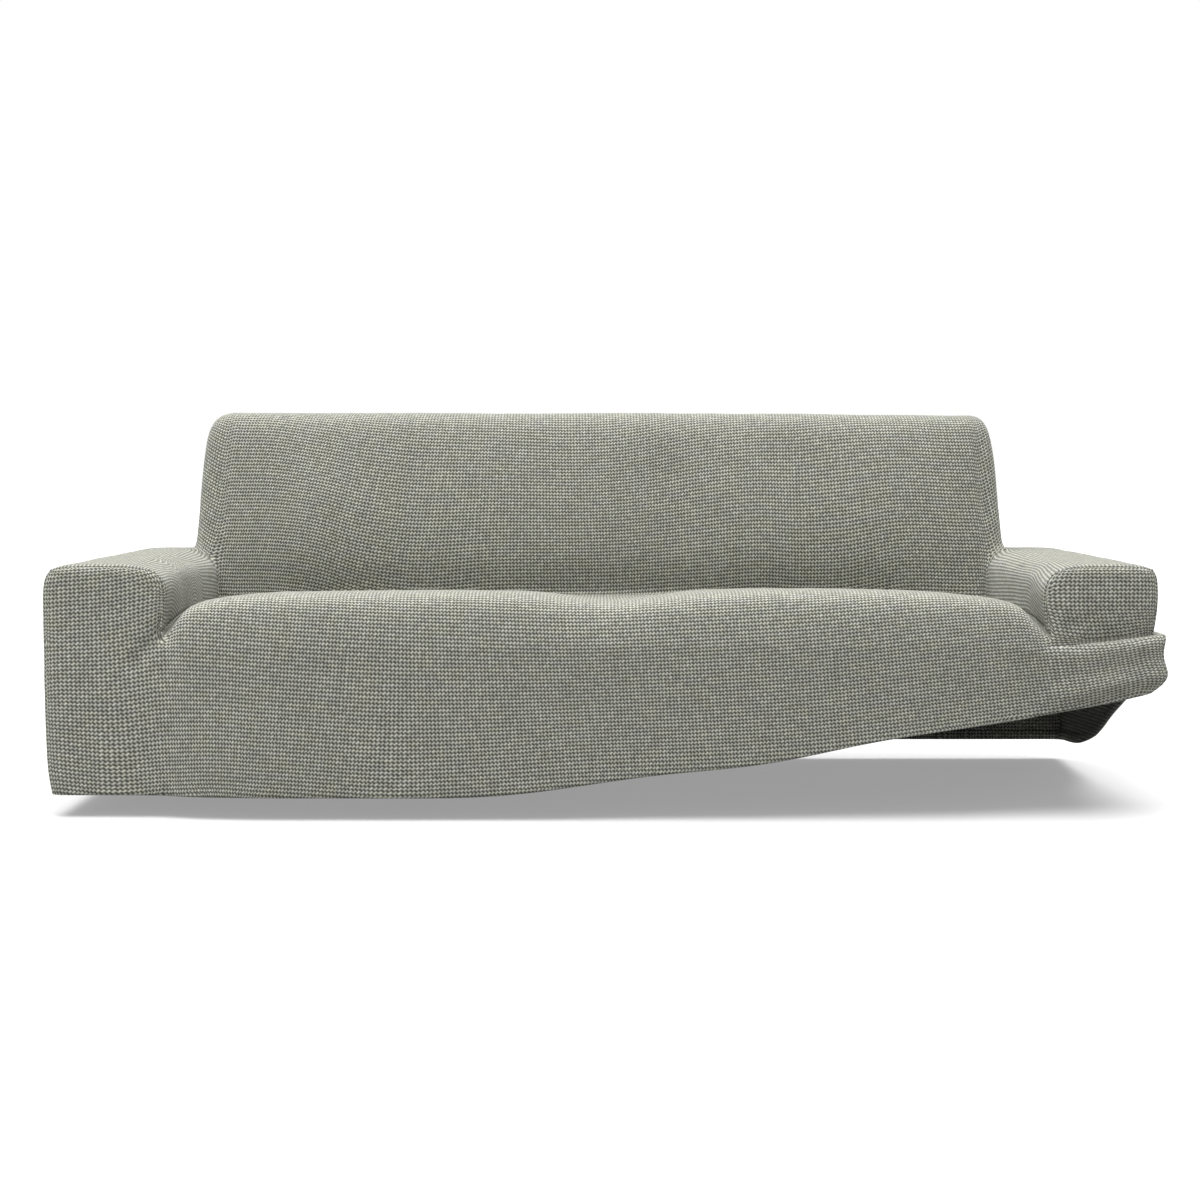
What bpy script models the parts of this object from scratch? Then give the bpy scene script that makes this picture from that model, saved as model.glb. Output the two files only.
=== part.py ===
"""Stretch knit slipcover for a three-seat sofa: four panels sewn edge to edge.

The cover is one soft surface, modelled as a coarse cage on a lattice of named lines, rounded by
Subdivision Surface and thickened by Solidify. It is then cut along its seams into the maker's
panels, each one closed sheet with a narrow gap to its neighbours.

Metres. X runs along the seat, -Y is the front, +Z is up. The hem's lowest edge lies at Z = 0.
"""

import math

import bmesh
import bpy
from mathutils import Vector

# Overall sizes
HALF_WIDTH = 1.100
FRONT = -0.415
REAR = 0.455
ARM_TOP = 0.449
BACK_TOP = 0.768
SHEET = 0.0026
SEAM_GAP = 0.00034
SHARPEST_MITRE = 0.4
ROUNDING_LEVEL = 1

# Where the arms' inner faces and the sides of the backrest stand, left and right of the middle
ARM_INNER = {"left": 0.868, "right": 0.884}
BACK_SIDE = {"left": 0.925, "right": 0.912}
ARM_TAPER = {"left": 0.002, "right": 0.018}

# Lattice lines: across (from the middle to one end), front to rear, and hem to top
SEAT_LINES = (0.110, 0.290, 0.480, 0.670, 0.808)
ARM_LINES = (0.990, 1.048, HALF_WIDTH)
DEPTH_LINES = (FRONT, FRONT + 0.035, -0.250, -0.060, 0.120, 0.235, 0.310, 0.405, REAR)
HEIGHT_LINES = (0.0, 0.050, 0.130, 0.220, 0.300, 0.370, 0.419, ARM_TOP, 0.540, 0.665, BACK_TOP)
BACK_LINE = 5
FOLD_LINE = 4
SEAT_LINE = 5
ARM_LINE = 7

# The seat's top at each lattice line from the front to the backrest: its height in the open
# cushion, and in the groove beside an arm
SEAT_ROWS = (
    # open, groove
    (0.366, 0.296),
    (0.400, 0.322),
    (0.409, 0.342),
    (0.398, 0.346),
    (0.382, 0.346),
    (0.362, 0.346),
)
SEAT_FRONT_BULGE = 0.042
SEAT_EDGE_SETBACK = 0.016
SEAT_END_DROP = 0.010
GROOVE_INSET = 0.018

# The dip between the two seat cushions, steeper on its left
DIP_MIDDLE = 0.010
DIP_DEPTH = 0.024
DIP_REACH = {"left": 0.085, "right": 0.130}

# The backrest leans back, narrows upwards, and its top edge falls a little to the right
BACK_LEAN = math.radians(12.5)
BACK_REAR_LEAN = 0.012
BACK_NARROWING = 0.018
BACK_TOP_FALL = 0.006
CORNER_SOFTENING = {"back": 0.011, "arm": 0.007}

# The hem is drawn in by its elastic, and is pulled up towards the right front corner
HEM_DRAW_IN = 0.006
HEM_RISE = (
    # x along the front, height
    (-0.240, 0.000),
    (-0.120, 0.013),
    (0.076, 0.042),
    (0.346, 0.071),
    (0.542, 0.113),
    (0.750, 0.143),
    (0.950, 0.173),
    (1.100, 0.204),
)
HEM_FALL = (
    # y along the right side, height
    (-0.415, 0.204),
    (-0.250, 0.186),
    (-0.060, 0.118),
    (0.120, 0.046),
    (0.300, 0.010),
    (0.455, 0.000),
)

# The cloth bunched round the right front corner: for each lattice row from the hem to the fold
# above it, its height between them and how far it stands out
BUNCH_ROWS = (
    # share of the height, forwards, sideways
    (0.00, 0.006, -0.004),
    (0.26, 0.034, 0.030),
    (0.57, 0.020, 0.008),
    (0.88, 0.038, 0.024),
    (1.00, -0.006, -0.002),
)
BUNCH_FOLD_HEIGHT = 0.318
BUNCH_START = 0.850
BUNCH_FULL = 0.970
BUNCH_BACK_START = 0.080
BUNCH_BACK_FULL = -0.250

# How tightly the cloth is drawn into its inner corners, from 0 to 1
GROOVE_CREASES = {"seat_to_arm": 0.75, "seat_to_back": 0.60, "arm_to_back": 0.35}
NOTCH_LENGTH = 0.030
NOTCH_SLACK = 0.5
FOLD_CREASE = 0.6

PANELS = (
    "front_seat_back_panel",
    "arm_panel_left",
    "arm_panel_right",
    "outside_back_panel",
)
KNIT_COLOURS = {
    "front_seat_back_panel": (0.262, 0.268, 0.228, 1.0),
    "arm_panel_left": (0.280, 0.286, 0.246, 1.0),
    "arm_panel_right": (0.268, 0.274, 0.236, 1.0),
    "outside_back_panel": (0.250, 0.256, 0.218, 1.0),
}


def ramp(value, start, end):
    """0 before start and 1 past end, turning smoothly between them."""
    share = min(max((value - start) / (end - start), 0.0), 1.0)
    return share * share * (3 - 2 * share)


def along(rows, value):
    """The second column of a table, read at a value of its first."""
    if value <= rows[0][0]:
        return rows[0][1]
    for (low, first), (high, second) in zip(rows, rows[1:]):
        if value <= high:
            return first + (second - first) * (value - low) / (high - low)
    return rows[-1][1]


def side_of(x):
    return "left" if x < 0 else "right"


def width_lines():
    """The lattice lines from the left end to the right end."""
    halves = {}
    for side in ("left", "right"):
        halves[side] = SEAT_LINES + (ARM_INNER[side], BACK_SIDE[side]) + ARM_LINES
    left = [-x for x in reversed(halves["left"])]
    return left + [0.0] + list(halves["right"])


WIDTH_LINES = width_lines()


def over_seat(x):
    return abs(x) < ARM_INNER[side_of(x)] - 1e-6


def beside_arm(x):
    return abs(abs(x) - ARM_INNER[side_of(x)]) < 1e-6


def seat_dip(x):
    offset = x - DIP_MIDDLE
    return DIP_DEPTH * math.exp(-((offset / DIP_REACH[side_of(offset)]) ** 2))


def place_on_seat(point, j, x):
    """The crowned seat: low at its front edge, in the middle dip and in the grooves by the arms."""
    open_height, groove_height = SEAT_ROWS[j]
    if beside_arm(x):
        point.z = groove_height
        return
    end = ramp(abs(x), SEAT_LINES[-2], SEAT_LINES[-1])
    point.z = open_height - SEAT_END_DROP * end
    if j < BACK_LINE:
        point.z -= seat_dip(x)


def place_on_front(point, k, x):
    """The seat front stands ahead of the arm fronts, and the cloth is drawn in at each notch."""
    share = 1 - ramp(abs(x), SEAT_LINES[-1] - 0.06, ARM_INNER[side_of(x)] + 0.03)
    point.y -= SEAT_FRONT_BULGE * share
    if k != SEAT_LINE:
        return
    if over_seat(x):
        point.y += SEAT_EDGE_SETBACK + 0.4 * seat_dip(x)
    elif beside_arm(x):
        point.y += GROOVE_INSET


def place_on_back(point, j):
    """The backrest's lean, strongest at its front, and its narrowing towards the top."""
    through = (j - BACK_LINE) / (len(DEPTH_LINES) - 1 - BACK_LINE)
    rise = point.z - ARM_TOP
    front_lean = rise * math.tan(BACK_LEAN)
    rear_lean = max(rise, 0.0) / (BACK_TOP - ARM_TOP) * BACK_REAR_LEAN
    point.y += front_lean + (rear_lean - front_lean) * through
    if rise > 0:
        height_share = rise / (BACK_TOP - ARM_TOP)
        point.x *= 1 - BACK_NARROWING * height_share
        point.z -= BACK_TOP_FALL * height_share * ramp(point.x, 0.0, HALF_WIDTH)


def soften_corner(point, x, end, softening):
    """Draws in a cage point on the long edge where a top meets an end."""
    if abs(abs(x) - end) < 1e-6:
        point.x -= math.copysign(softening, x)
        point.z -= softening


def hem_height(x, y):
    if x > HALF_WIDTH - 1e-6:
        return along(HEM_FALL, y)
    if y < FRONT + 1e-6:
        return along(HEM_RISE, x)
    return 0.0


def bunched(x, y):
    """How strongly the bunched cloth shows at a place on the front or the right side."""
    if y < FRONT + 1e-6:
        return ramp(x, BUNCH_START, BUNCH_FULL)
    if x > HALF_WIDTH - 1e-6:
        return 1 - ramp(y, BUNCH_BACK_FULL, BUNCH_BACK_START)
    return 0.0


def place_on_skirt(point, k, x, y):
    """Spreads the rows under the fold between the hem and the fold, and bulges the bunch."""
    hem = hem_height(x, y)
    share = HEIGHT_LINES[k] / HEIGHT_LINES[FOLD_LINE]
    bunch_share, forwards, sideways = BUNCH_ROWS[k]
    strength = bunched(x, y)
    share += (bunch_share - share) * strength
    fold = HEIGHT_LINES[FOLD_LINE]
    fold += (BUNCH_FOLD_HEIGHT - fold) * strength
    point.z = hem + (fold - hem) * share
    if x > HALF_WIDTH - 1e-6:
        point.x += sideways * strength
    if y < FRONT + 1e-6:
        point.y -= forwards * strength
    point.x *= 1 - HEM_DRAW_IN * (1 - share) ** 2 * ramp(abs(x), 0.9, HALF_WIDTH)


def lattice_point(i, j, k):
    """Where the cloth carries the cage's point on line i across, j to the rear and k up."""
    x, y, z = WIDTH_LINES[i], DEPTH_LINES[j], HEIGHT_LINES[k]
    point = Vector((x, y, z))
    on_seat = k == SEAT_LINE and j <= BACK_LINE and (over_seat(x) or beside_arm(x))
    if beside_arm(x):
        depth_share = (y - FRONT) / (DEPTH_LINES[BACK_LINE] - FRONT)
        point.x -= math.copysign(ARM_TAPER[side_of(x)] * min(depth_share, 1), x)
    if on_seat:
        place_on_seat(point, j, x)
    if j == 0:
        place_on_front(point, k, x)
    if j >= BACK_LINE and (k > ARM_LINE or abs(x) <= BACK_SIDE[side_of(x)] + 1e-6):
        place_on_back(point, j)
    if k <= FOLD_LINE:
        place_on_skirt(point, k, x, y)
    if k == ARM_LINE:
        soften_corner(point, x, HALF_WIDTH, CORNER_SOFTENING["arm"])
    if k == len(HEIGHT_LINES) - 1:
        soften_corner(point, x, BACK_SIDE[side_of(x)], CORNER_SOFTENING["back"])
    return point


def is_filled(i, j, k):
    """Whether the sofa's form fills the lattice cell with this lowest corner."""
    cells = (len(WIDTH_LINES) - 1, len(DEPTH_LINES) - 1, len(HEIGHT_LINES) - 1)
    if not all(0 <= index < most for index, most in zip((i, j, k), cells)):
        return False
    middle = (WIDTH_LINES[i] + WIDTH_LINES[i + 1]) / 2
    side = side_of(middle)
    if k < SEAT_LINE:
        return True
    if j >= BACK_LINE and abs(middle) < BACK_SIDE[side]:
        return True
    return k < ARM_LINE and abs(middle) > ARM_INNER[side]


# Each open face of a lattice cell: the step to the cell beyond it, and its corners seen from
# outside, counter-clockwise
CELL_FACES = {
    "left": ((-1, 0, 0), ((0, 0, 0), (0, 0, 1), (0, 1, 1), (0, 1, 0))),
    "right": ((1, 0, 0), ((1, 0, 0), (1, 1, 0), (1, 1, 1), (1, 0, 1))),
    "front": ((0, -1, 0), ((0, 0, 0), (1, 0, 0), (1, 0, 1), (0, 0, 1))),
    "rear": ((0, 1, 0), ((0, 1, 0), (0, 1, 1), (1, 1, 1), (1, 1, 0))),
    "top": ((0, 0, 1), ((0, 0, 1), (1, 0, 1), (1, 1, 1), (0, 1, 1))),
}


def panel_of(facing, i, j, k):
    """The maker's panel that a cage face belongs to."""
    middle = (WIDTH_LINES[i] + WIDTH_LINES[i + 1]) / 2
    side = side_of(middle)
    arm = PANELS.index("arm_panel_" + side)
    if facing == "rear":
        return PANELS.index("outside_back_panel")
    if facing in ("left", "right"):
        backrest_side = k >= ARM_LINE
        return 0 if backrest_side else arm
    if facing == "top" and k == ARM_LINE - 1:
        return arm
    return 0


def crease_between(first, second):
    """How tightly the cloth is drawn in along the edge between two cage faces."""
    pair = {first, second}
    if pair == {"seat", "inner_arm"}:
        return GROOVE_CREASES["seat_to_arm"]
    if pair == {"seat", "inside_back"}:
        return GROOVE_CREASES["seat_to_back"]
    if pair in ({"inner_arm", "inside_back"}, {"arm_top", "inside_back"}, {"arm_top", "back_side"}):
        return GROOVE_CREASES["arm_to_back"]
    return 0.0


def region_of(facing, i, j, k):
    """A plain name for the part of the sofa that a cage face lies on."""
    if facing == "top":
        return {SEAT_LINE - 1: "seat", ARM_LINE - 1: "arm_top"}.get(k, "back_top")
    if facing in ("left", "right"):
        if k >= ARM_LINE:
            return "back_side"
        at_end = i in (0, len(WIDTH_LINES) - 2) and (facing == "left") == (i == 0)
        return "outer_arm" if at_end else "inner_arm"
    if facing == "front":
        return "inside_back" if j == BACK_LINE else "front"
    return "outside_back"


def cage_faces():
    """(corner keys, panel number, region) for each open face of the filled cells."""
    for i in range(len(WIDTH_LINES) - 1):
        for j in range(len(DEPTH_LINES) - 1):
            for k in range(len(HEIGHT_LINES) - 1):
                if not is_filled(i, j, k):
                    continue
                for facing, (step, corners) in CELL_FACES.items():
                    if is_filled(i + step[0], j + step[1], k + step[2]):
                        continue
                    keys = [(i + a, j + b, k + c) for a, b, c in corners]
                    yield keys, panel_of(facing, i, j, k), region_of(facing, i, j, k)


def fold_edges():
    """Pairs of lattice keys along the fold above the bunched cloth, on the front and the side."""
    last = len(WIDTH_LINES) - 1
    for i in range(last):
        if bunched(WIDTH_LINES[i], FRONT) > 0.5:
            yield (i, 0, FOLD_LINE), (i + 1, 0, FOLD_LINE)
    for j in range(BACK_LINE):
        if bunched(HALF_WIDTH, DEPTH_LINES[j + 1]) > 0.5:
            yield (last, j, FOLD_LINE), (last, j + 1, FOLD_LINE)


def make_cage():
    """The cover's coarse cage as a mesh, each face with its panel's number as material index."""
    form = bmesh.new()
    crease = form.edges.layers.float.new("crease_edge")
    points = {}
    regions = {}
    for keys, panel, region in cage_faces():
        for key in keys:
            if key not in points:
                points[key] = form.verts.new(lattice_point(*key))
        face = form.faces.new([points[key] for key in keys])
        face.material_index = panel
        face.smooth = True
        regions[face] = region
    for edge in form.edges:
        if len(edge.link_faces) == 2:
            tightness = crease_between(*(regions[face] for face in edge.link_faces))
            notch = min(vert.co.y for vert in edge.verts) < FRONT + NOTCH_LENGTH
            edge[crease] = tightness * (NOTCH_SLACK if notch else 1)
    for first, second in fold_edges():
        edge = form.edges.get((points[first], points[second]))
        edge[crease] = FOLD_CREASE
    mesh = bpy.data.meshes.new("cover_cage")
    form.to_mesh(mesh)
    form.free()
    return mesh


def knit_material(name):
    """A matt knit finish in the panel's own shade."""
    material = bpy.data.materials.new("knit_" + name)
    material.use_nodes = True
    shader = material.node_tree.nodes["Principled BSDF"]
    shader.inputs["Base Color"].default_value = KNIT_COLOURS[name]
    shader.inputs["Roughness"].default_value = 0.9
    shader.inputs["Metallic"].default_value = 0.0
    return material


def rounded_cover(cage, helpers):
    """The whole cover as two parallel layers of cloth, before it is cut into panels.

    The outer layer comes first in the mesh, and point n of it has its twin on the inner layer
    at n + half the count. An inner face has its panel's number plus the number of panels.
    """
    cover = bpy.data.objects.new("whole_cover", cage)
    helpers.objects.link(cover)
    cover.hide_render = True
    cover.display_type = "WIRE"
    for _ in range(2 * len(PANELS)):
        cage.materials.append(None)
    rounding = cover.modifiers.new("rounding", "SUBSURF")
    rounding.levels = ROUNDING_LEVEL
    rounding.render_levels = ROUNDING_LEVEL
    rounding.boundary_smooth = "PRESERVE_CORNERS"
    thickness = cover.modifiers.new("thickness", "SOLIDIFY")
    thickness.thickness = SHEET
    thickness.offset = -1.0
    thickness.use_even_offset = False
    thickness.use_quality_normals = True
    thickness.use_rim = False
    thickness.material_offset = len(PANELS)
    bpy.context.view_layer.update()
    graph = bpy.context.evaluated_depsgraph_get()
    return bpy.data.meshes.new_from_object(cover.evaluated_get(graph))


def across_seam(edge):
    """The direction from a cut edge into its own panel, square to the edge and to the cloth."""
    start, end = edge.verts
    across = (end.co - start.co).cross(start.normal + end.normal).normalized()
    middle = (start.co + end.co) / 2
    if (edge.link_faces[0].calc_center_median() - middle).dot(across) < 0:
        across.negate()
    return across


def seam_shift(vert, seams):
    """The short step away from the seams at a point that opens the gap between panels."""
    steps = [across_seam(edge) for edge in vert.link_edges if edge in seams]
    if len(steps) == 1:
        return steps[0] * SEAM_GAP / 2
    mitre = max(1 + steps[0].dot(steps[1]), SHARPEST_MITRE)
    return (steps[0] + steps[1]) / mitre * SEAM_GAP / 2


def close_rim(form, ends, order, twins):
    """Two triangles between the layers along a cut edge, split alike on both sides of a seam."""
    start, end = ends
    if order[start] < order[end]:
        corners = ((end, start, twins[end]), (start, twins[start], twins[end]))
    else:
        corners = ((end, start, twins[start]), (end, twins[start], twins[end]))
    for corner in corners:
        form.faces.new(corner)


def cut_panel(whole, number):
    """One panel of the cover: both its layers, drawn back at the seams and closed all round."""
    form = bmesh.new()
    form.from_mesh(whole)
    form.normal_update()
    form.verts.ensure_lookup_table()
    count = len(form.verts) // 2
    order = {form.verts[n]: n for n in range(count)}
    twins = {vert: form.verts[n + count] for vert, n in order.items()}
    hem = {edge for edge in form.edges if edge.is_boundary}
    others = [face for face in form.faces if face.material_index % len(PANELS) != number]
    bmesh.ops.delete(form, geom=others, context="FACES")
    outer_rim = [
        edge
        for edge in form.edges
        if edge.is_boundary and edge.link_faces[0].material_index < len(PANELS)
    ]
    seams = {edge for edge in form.edges if edge.is_boundary and edge not in hem}
    shifts = {vert: seam_shift(vert, seams) for edge in seams for vert in edge.verts}
    for vert, shift in shifts.items():
        vert.co += shift
    for edge in outer_rim:
        loop = edge.link_loops[0]
        close_rim(form, (loop.vert, loop.link_loop_next.vert), order, twins)
    for face in form.faces:
        face.material_index = 0
        face.smooth = True
    form.normal_update()
    name = PANELS[number]
    mesh = bpy.data.meshes.new(name)
    form.to_mesh(mesh)
    form.free()
    mesh.materials.append(knit_material(name))
    mesh.set_sharp_from_angle(angle=math.radians(50))
    return bpy.data.objects.new(name, mesh)


def main():
    for old in list(bpy.data.objects):
        bpy.data.objects.remove(old)
    parts = bpy.data.collections.new("sofa_slipcover")
    helpers = bpy.data.collections.new("cutting_layout")
    helpers.hide_render = True
    for collection in (parts, helpers):
        bpy.context.scene.collection.children.link(collection)
    whole = rounded_cover(make_cage(), helpers)
    for number in range(len(PANELS)):
        parts.objects.link(cut_panel(whole, number))
    bpy.data.meshes.remove(whole)


main()
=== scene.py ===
"""Stretch knit slipcover for a three-seat sofa, laid out as a small Blender add-on.

The cover is built as one soft form: a lattice cage over the sofa's shape, rounded by subdivision.
Each face of the cage also has a place on the flat cloth, in metres, so that the knit's rows and
columns follow the cloth. Soft folds then move the fine form, its lower edge is turned in as a
hem, and it is cut along the seams into the maker's panels, each a sheet of knit with its own
thickness.

Metres. X runs along the seat, -Y is the front, +Z is up. The hem's lowest edge lies at Z = 0.
"""

import math

import bmesh
import bpy
import numpy as np
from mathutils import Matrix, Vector, noise


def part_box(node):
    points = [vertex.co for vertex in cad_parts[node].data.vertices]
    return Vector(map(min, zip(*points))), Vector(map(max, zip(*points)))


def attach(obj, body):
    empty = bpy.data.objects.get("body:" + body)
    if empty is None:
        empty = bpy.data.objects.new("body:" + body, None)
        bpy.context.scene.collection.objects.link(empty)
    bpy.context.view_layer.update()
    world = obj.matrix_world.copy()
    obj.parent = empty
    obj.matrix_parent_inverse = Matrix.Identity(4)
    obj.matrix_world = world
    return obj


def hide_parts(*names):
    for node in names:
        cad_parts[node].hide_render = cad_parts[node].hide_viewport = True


bl_info = {
    "name": "Stretch knit slipcover",
    "version": (1, 0, 0),
    "blender": (4, 5, 0),
    "location": "View3D > Sidebar > Slipcover",
    "description": "Builds a stretch knit sofa slipcover and a plain studio around it",
    "category": "Add Mesh",
}

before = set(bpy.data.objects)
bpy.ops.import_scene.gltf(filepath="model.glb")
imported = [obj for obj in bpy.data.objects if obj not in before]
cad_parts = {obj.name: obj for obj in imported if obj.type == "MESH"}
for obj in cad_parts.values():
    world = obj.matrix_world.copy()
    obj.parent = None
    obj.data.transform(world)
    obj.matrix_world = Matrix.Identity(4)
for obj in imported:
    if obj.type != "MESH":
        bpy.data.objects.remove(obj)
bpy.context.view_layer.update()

SIDES = ("left", "right")
REGIONS = ["front", "seat", "inside_back", "back_top", "outside_back"]
for part in ("back_side", "inner_arm", "arm_top", "outer_arm"):
    REGIONS += [f"{part}_{side}" for side in SIDES]

# -------- The cover's form: its named lines and sizes --------

HALF_WIDTH = -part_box("arm_panel_left")[0][0]
ARM_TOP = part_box("arm_panel_left")[1][2]
BACK_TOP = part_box("front_seat_back_panel")[1][2]
FRONT = -0.415
REAR = 0.455

ARM_INNER = {"left": 0.868, "right": 0.884}
BACK_SIDE = {"left": 0.925, "right": 0.912}
ARM_TAPER = {"left": 0.002, "right": 0.018}

SEAT_LINES = (0.110, 0.290, 0.480, 0.670, 0.808)
ARM_LINES = (0.990, 1.048, HALF_WIDTH)
NOTCH_LINES = (0.838, 0.856)
SEAT_TO_BACK = 0.235
DEPTH_LINES = (FRONT, FRONT + 0.035, -0.250, -0.060, 0.120, SEAT_TO_BACK, 0.310, 0.405, REAR)
SEAT_LEVEL = 0.370
FOLD_LEVEL = 0.300
HEIGHT_LINES = (0.0, 0.050, 0.130, 0.220, 0.272, 0.292, FOLD_LEVEL, SEAT_LEVEL, 0.419, ARM_TOP)
BACK_LINES = (0.540, 0.665, BACK_TOP)
WIDEST_CELL = 0.145

# Places closer together than this count as one
NEAR = 1e-6

# The seat's top from its front edge to the backrest, in the open cushion and beside an arm
SEAT_PROFILE = (
    # y, open, groove
    (FRONT, 0.397, 0.306),
    (FRONT + 0.035, 0.402, 0.322),
    (-0.250, 0.394, 0.340),
    (-0.060, 0.384, 0.344),
    (0.120, 0.373, 0.344),
    (SEAT_TO_BACK, 0.358, 0.344),
)
SEAT_FRONT_BULGE = 0.042
SEAT_BULGE_FADE = {"before_end": 0.06, "past_arm": 0.03}
SEAT_EDGE_SETBACK = 0.011
SEAT_END_DROP = 0.012
SEAT_LIFT = (
    # x, how much higher the seat is there
    (-0.700, -0.003),
    (-0.450, 0.000),
    (0.050, 0.000),
    (0.350, 0.004),
    (0.550, 0.003),
    (0.750, -0.003),
)

# The dip between the two seat cushions, steeper on its left
DIP_MIDDLE = 0.010
DIP_DEPTH = 0.024
DIP_SETBACK = 0.4
DIP_REACH = {"left": 0.085, "right": 0.130}

# The backrest leans back, narrows upwards, and its top edge falls a little to the right
BACK_LEAN = math.radians(10.5)
BACK_REAR_LEAN = 0.012
BACK_NARROWING = 0.018
BACK_CROWN = 0.027
BACK_CROWN_LOWNESS = 0.75
BACK_CROWN_ENDS = (0.74, 0.90)
BACK_EDGE_ROUNDING = 0.012
BACK_CHEEK_WIDTH = 0.03
BACK_TOP_FALL = 0.006
CORNER_SOFTENING = {"back": 0.011, "arm": 0.007}

# How far the arm's inner upper edge slumps at its front and at the backrest, how far the arm
# swells inwards at its front, and how far the upright inner edge of its front lies to the rear
ARM_EDGE_SLUMP = {"left": (0.014, 0.020), "right": (0.018, 0.016)}
ARM_SWELL = {"left": 0.022, "right": 0.026}
ARM_SWELL_REACH = 0.260
ARM_FRONT_ROUNDING = {"left": 0.008, "right": 0.014}
ARM_SIDE_BULGE = {"left": 0.007, "right": 0.0}

# The hem is drawn in by its elastic, and is pulled up towards the right front corner
HEM_DRAW_IN = 0.006
HEM_DRAW_IN_START = 0.9
HEM_RISE = (
    # x along the front, height
    (-0.240, 0.000),
    (-0.120, 0.013),
    (0.076, 0.042),
    (0.346, 0.071),
    (0.542, 0.113),
    (0.750, 0.143),
    (0.950, 0.173),
    (1.100, 0.204),
)
HEM_FALL = (
    # y along the right side, height
    (-0.415, 0.204),
    (-0.250, 0.186),
    (-0.060, 0.118),
    (0.120, 0.046),
    (0.300, 0.010),
    (0.455, 0.000),
)

# The cloth bunched round the right front corner: for each lattice row from the hem to the fold
# above it, its height between them and how far it stands out
BUNCH_ROWS = (
    # share of the height, forwards, sideways
    (0.000, 0.006, -0.004),
    (0.260, 0.034, 0.030),
    (0.570, 0.020, 0.008),
    (0.850, 0.030, 0.012),
    (0.965, 0.022, 0.015),
    (1.000, 0.010, 0.009),
    (0.965, -0.012, -0.008),
)
BUNCH_FOLD = (
    # x along the front, height of the lip below the fold
    (0.880, 0.304),
    (0.920, 0.302),
    (0.971, 0.303),
    (1.028, 0.309),
    (1.075, 0.318),
    (1.100, 0.320),
)
BUNCH_START = 0.850
BUNCH_FULL = 0.970
BUNCH_BACK_START = 0.080
BUNCH_BACK_FULL = -0.250

# How tightly the cloth is drawn into its inner corners and over the seat's edge, from 0 to 1
GROOVE_CREASES = {"seat_to_arm": 0.75, "seat_to_back": 0.60, "arm_to_back": 0.35}
SEAT_EDGE_CREASE = 0.25
FOLD_CREASE = 0.95

# At a notch, where the seat's front edge meets an arm, the cloth is slacker and a little tucked
# down, and the seams stop short of it
NOTCH_LENGTH = 0.030
NOTCH_SLACK = 0.5
NOTCH_TUCK = 0.010
NOTCH_REACH = 0.045
NOTCH_CLEAR = 0.035

# -------- The knit: where its rows and columns run on the stretched cloth --------

ROW_PITCH = 0.0080
COLUMN_PITCH = {"seat": 0.0070, "arm": 0.0082}
SEAT_KNIT_HALF = 0.86

# Two knit rows of the front, as heights in millimetres, and how many rows lie between them. The
# rows between share out the height, but round the bunched cloth the fold hides some of them.
FRONT_ROW_COUNT = 31
FRONT_ROWS = (
    # x, low row, high row
    (-1.080, 80, 320),
    (-0.970, 70, 330),
    (-0.850, 80, 350),
    (-0.780, 85, 345),
    (-0.660, 80, 335),
    (-0.400, 65, 320),
    (-0.270, 70, 315),
    (-0.050, 85, 310),
    (0.190, 95, 320),
    (0.420, 110, 335),
    (0.660, 140, 360),
    (0.810, 160, 370),
    (0.900, 170, 370),
    (1.060, 210, 370),
)

# How many rows lie below the fold and how many in it, and the height that those take up
ROWS_BELOW_FOLD = 20
ROWS_IN_FOLD = 3
FOLD_HIDES = 0.006

# Two knit rows of the backrest in the same way. They sag between its ends.
BACK_ROW_COUNT = 35
BACK_ROWS = (
    # x, low row, high row
    (-0.880, 480, 755),
    (-0.770, 475, 750),
    (-0.650, 455, 725),
    (-0.540, 420, 705),
    (-0.450, 405, 695),
    (-0.230, 415, 685),
    (0.040, 420, 685),
    (0.220, 430, 715),
    (0.360, 440, 730),
    (0.450, 435, 735),
    (0.540, 440, 745),
    (0.680, 470, 755),
    (0.820, 480, 760),
)

# Metres that the rows on an arm's top run outwards for each metre to the rear, and the width of
# the band over its inner edge in which the inner arm's rows turn into them
ARM_TOP_TURN = {"left": 0.08, "right": 0.05}
ARM_TURN_BAND = 0.130

# How far one row of an inner arm is lifted, in millimetres, at places from the front to the back
INNER_ARM_LIFT = {
    "left": (
        # y, lift
        (-0.415, 12),
        (-0.325, 8),
        (-0.250, -10),
        (-0.165, -30),
        (-0.120, 32),
        (0.040, 20),
        (0.250, 2),
    ),
    "right": (
        # y, lift
        (-0.415, -12),
        (-0.300, 4),
        (-0.250, 16),
        (-0.100, 16),
        (0.200, 1),
        (0.250, 0),
    ),
}

# How the columns lean: sideways metres for each metre of cloth, at places across
FRONT_COLUMN_LEAN = (
    (-1.000, 0.00),
    (-0.900, 0.06),
    (-0.800, 0.00),
    (-0.600, -0.07),
    (-0.450, -0.05),
    (-0.380, 0.00),
    (-0.200, 0.05),
    (0.300, 0.06),
    (0.600, 0.10),
    (0.800, 0.13),
    (0.900, 0.20),
    (1.050, 0.25),
)
BACK_COLUMN_LEAN = (
    (-0.880, 0.10),
    (-0.700, 0.20),
    (-0.450, 0.10),
    (-0.200, 0.00),
    (0.500, 0.00),
    (0.850, -0.10),
)

# -------- Soft folds and creases, placed on the flat cloth of each region ----------------

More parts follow.
